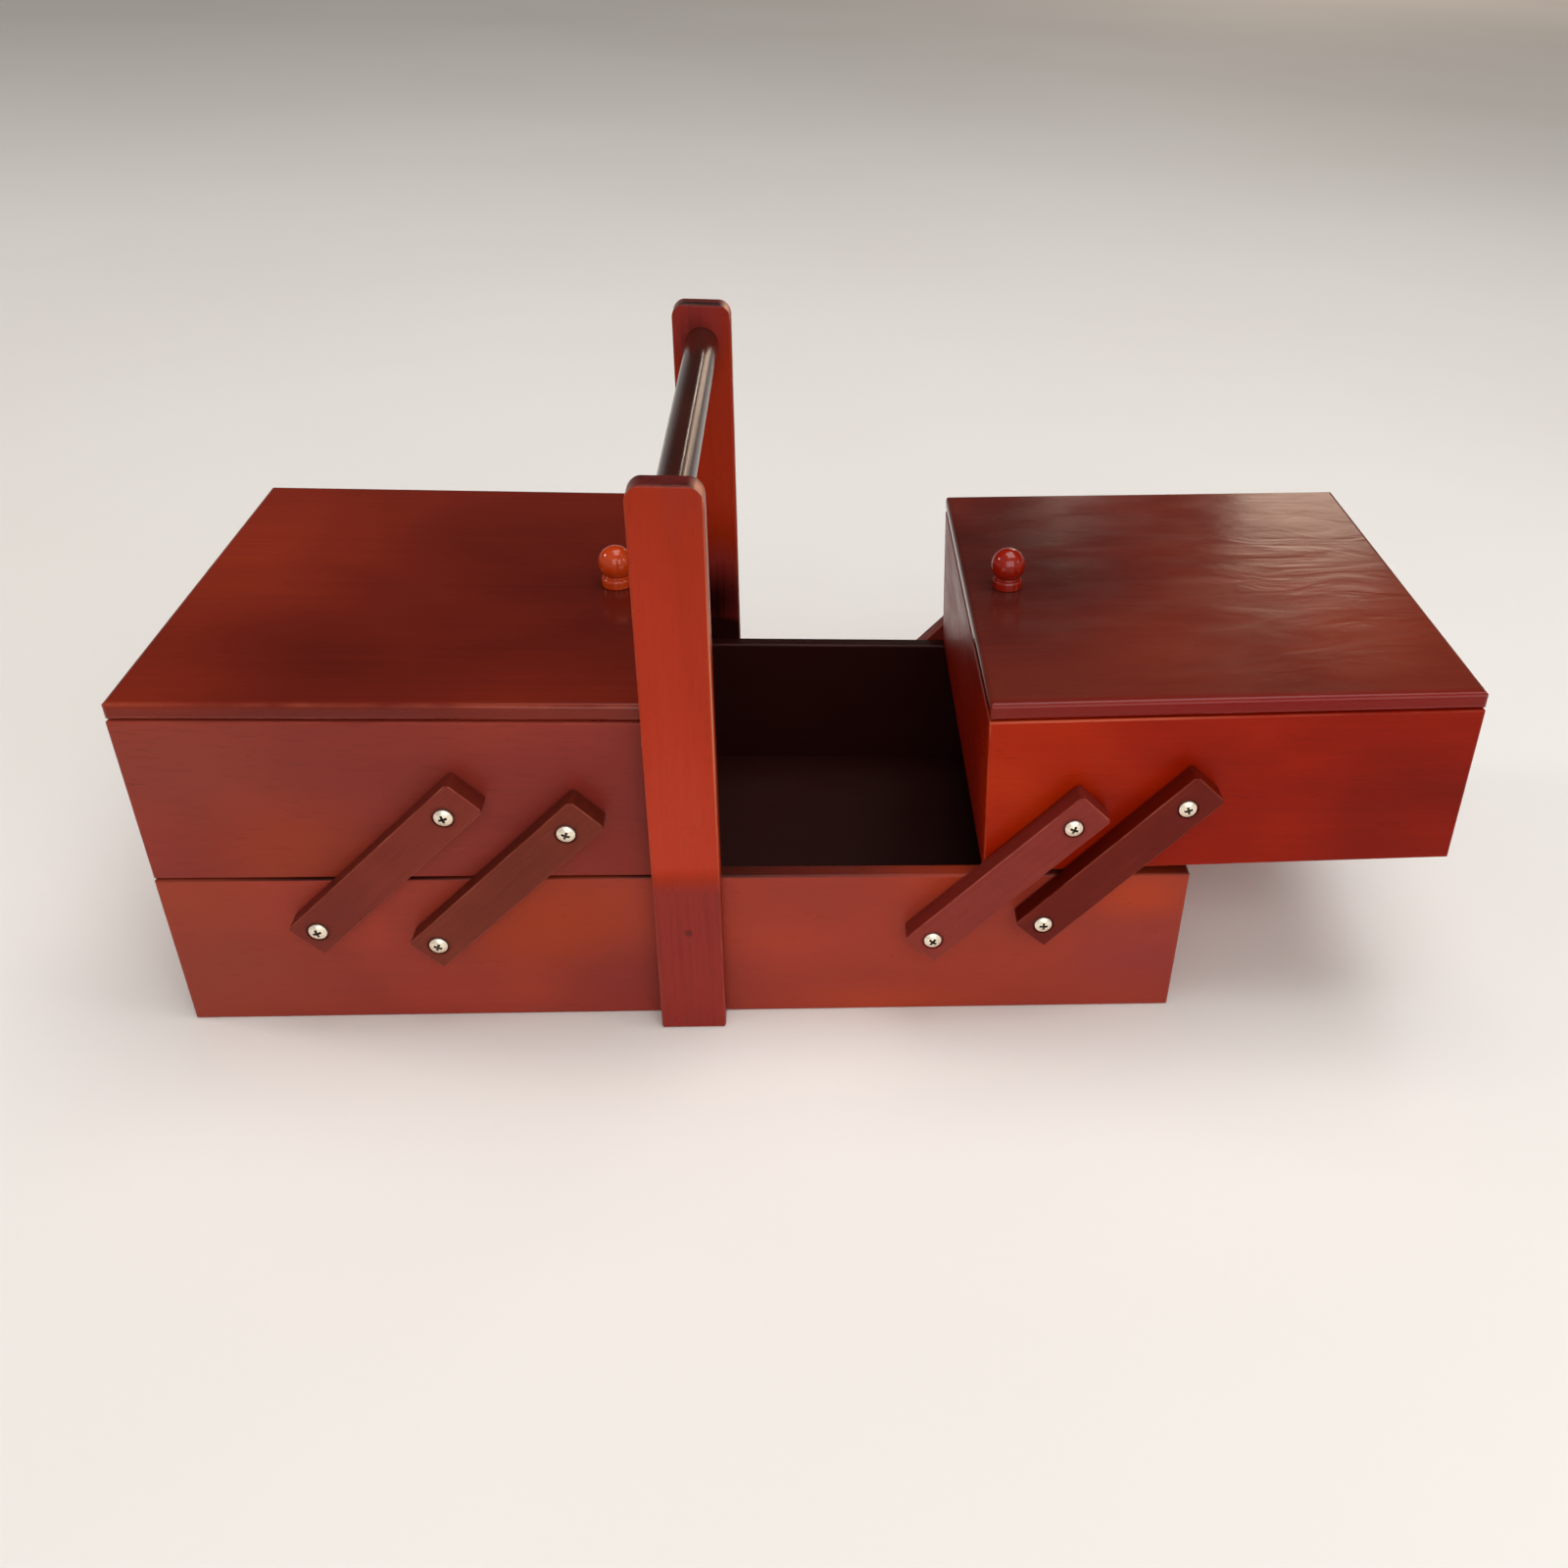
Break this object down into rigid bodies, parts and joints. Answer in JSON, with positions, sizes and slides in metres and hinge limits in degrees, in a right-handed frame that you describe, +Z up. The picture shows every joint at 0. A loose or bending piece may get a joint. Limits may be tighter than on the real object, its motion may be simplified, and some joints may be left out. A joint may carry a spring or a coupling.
{
  "type": "cantilever sewing box",
  "caption": "Wooden cantilever sewing box: an open base, lidded trays that swing out to either side on paired arms, and a carrying bar between posts.",
  "frame": {"origin": "middle of the base's underside, halfway between its ends and its faces", "axes": "+X along the box towards the tray that is swung out, +Y from the front face to the rear face, +Z up"},
  "size_m": [0.5115, 0.2226, 0.235],
  "materials": {
    "case_wood": "red mahogany stain under gloss lacquer",
    "lid_wood": "darker red mahogany stain under gloss lacquer",
    "post_wood": "orange-red stain under gloss lacquer",
    "arm_wood": "maroon stain under gloss lacquer",
    "bar_wood": "dark maroon stain, polished by use",
    "knob_wood": "bright red-orange lacquer",
    "filler": "dark wood filler",
    "nickel": "bright nickel plate",
    "steel": "plain zinc-plated steel",
    "brass": "dull brass"
  },
  "bodies": {
    "base": {"base_front_board": "case_wood", "base_rear_board": "case_wood", "base_left_end": "case_wood", "base_right_end": "case_wood", "base_bottom_panel": "case_wood", "front_post": "post_wood", "rear_post": "post_wood", "handle_bar": "bar_wood", "post_brads": "steel", "brad_fillers": "filler", "base_pivot_screws": "nickel", "base_pivot_washers": "steel"},
    "left_front_inner_arm": {"left_front_inner_arm": "arm_wood"},
    "left_front_outer_arm": {"left_front_outer_arm": "arm_wood"},
    "left_rear_inner_arm": {"left_rear_inner_arm": "arm_wood"},
    "left_rear_outer_arm": {"left_rear_outer_arm": "arm_wood"},
    "left_tray": {"left_tray_front_board": "case_wood", "left_tray_rear_board": "case_wood", "left_tray_inner_end": "case_wood", "left_tray_outer_end": "case_wood", "left_tray_bottom_panel": "case_wood", "left_tray_screws": "nickel", "left_tray_washers": "steel", "left_hinge_tray_leaves": "brass", "left_hinge_pins": "brass", "left_hinge_tray_screws": "brass"},
    "left_lid": {"left_lid": "lid_wood", "left_knob": "knob_wood", "left_knob_screw": "steel", "left_hinge_lid_leaves": "brass", "left_hinge_lid_screws": "brass"},
    "right_front_inner_arm": {"right_front_inner_arm": "arm_wood"},
    "right_front_outer_arm": {"right_front_outer_arm": "arm_wood"},
    "right_rear_inner_arm": {"right_rear_inner_arm": "arm_wood"},
    "right_rear_outer_arm": {"right_rear_outer_arm": "arm_wood"},
    "right_tray": {"right_tray_front_board": "case_wood", "right_tray_rear_board": "case_wood", "right_tray_inner_end": "case_wood", "right_tray_outer_end": "case_wood", "right_tray_bottom_panel": "case_wood", "right_tray_screws": "nickel", "right_tray_washers": "steel", "right_hinge_tray_leaves": "brass", "right_hinge_pins": "brass", "right_hinge_tray_screws": "brass"},
    "right_lid": {"right_lid": "lid_wood", "right_knob": "knob_wood", "right_knob_screw": "steel", "right_hinge_lid_leaves": "brass", "right_hinge_lid_screws": "brass"}
  },
  "joints": [
    {"name": "left_fold", "type": "hinge", "parent": "base", "child": "left_front_inner_arm", "pos_m": [-0.09627, -0.1053, 0.045], "axis": [0, -1, 0], "range_deg": [0, 88.75]},
    {"name": "left_rear_inner_turn", "type": "hinge", "parent": "base", "child": "left_rear_inner_arm", "pos_m": [-0.09627, 0.1053, 0.045], "axis": [0, -1, 0], "range_deg": [0, 88.75]},
    {"name": "left_front_outer_turn", "type": "hinge", "parent": "base", "child": "left_front_outer_arm", "pos_m": [-0.14027, -0.1053, 0.0525], "axis": [0, -1, 0], "range_deg": [0, 87.87]},
    {"name": "left_rear_outer_turn", "type": "hinge", "parent": "base", "child": "left_rear_outer_arm", "pos_m": [-0.14027, 0.1053, 0.0525], "axis": [0, -1, 0], "range_deg": [0, 87.87]},
    {"name": "left_tray_turn", "type": "hinge", "parent": "left_front_inner_arm", "child": "left_tray", "pos_m": [-0.043, -0.1053, 0.0978], "axis": [0, -1, 0], "range_deg": [-90.58, 0]},
    {"name": "left_lid_hinge", "type": "hinge", "parent": "left_tray", "child": "left_lid", "pos_m": [-0.2022, 0, 0.13995], "axis": [0, -1, 0], "range_deg": [0, 205]},
    {"name": "right_fold", "type": "hinge", "parent": "base", "child": "right_front_inner_arm", "pos_m": [0.09627, -0.1053, 0.045], "axis": [0, -1, 0], "range_deg": [0, 88.75]},
    {"name": "right_rear_inner_turn", "type": "hinge", "parent": "base", "child": "right_rear_inner_arm", "pos_m": [0.09627, 0.1053, 0.045], "axis": [0, -1, 0], "range_deg": [0, 88.75]},
    {"name": "right_front_outer_turn", "type": "hinge", "parent": "base", "child": "right_front_outer_arm", "pos_m": [0.14027, -0.1053, 0.0525], "axis": [0, -1, 0], "range_deg": [0, 87.87]},
    {"name": "right_rear_outer_turn", "type": "hinge", "parent": "base", "child": "right_rear_outer_arm", "pos_m": [0.14027, 0.1053, 0.0525], "axis": [0, -1, 0], "range_deg": [0, 87.87]},
    {"name": "right_tray_turn", "type": "hinge", "parent": "right_front_inner_arm", "child": "right_tray", "pos_m": [0.14789, -0.1053, 0.0994], "axis": [0, -1, 0], "range_deg": [-90.58, 0]},
    {"name": "right_lid_hinge", "type": "hinge", "parent": "right_tray", "child": "right_lid", "pos_m": [0.30566, 0, 0.14662], "axis": [0, 1, 0], "range_deg": [0, 205]}
  ],
  "couplings": [
    {"joint": "left_rear_inner_turn", "follows": "left_fold", "ratio": 1},
    {"joint": "left_front_outer_turn", "follows": "left_fold", "ratio": 0.99011},
    {"joint": "left_rear_outer_turn", "follows": "left_fold", "ratio": 0.99011},
    {"joint": "left_tray_turn", "follows": "left_fold", "ratio": -1.0207},
    {"joint": "right_rear_inner_turn", "follows": "right_fold", "ratio": 1},
    {"joint": "right_front_outer_turn", "follows": "right_fold", "ratio": 0.99011},
    {"joint": "right_rear_outer_turn", "follows": "right_fold", "ratio": 0.99011},
    {"joint": "right_tray_turn", "follows": "right_fold", "ratio": -1.0207}
  ]
}
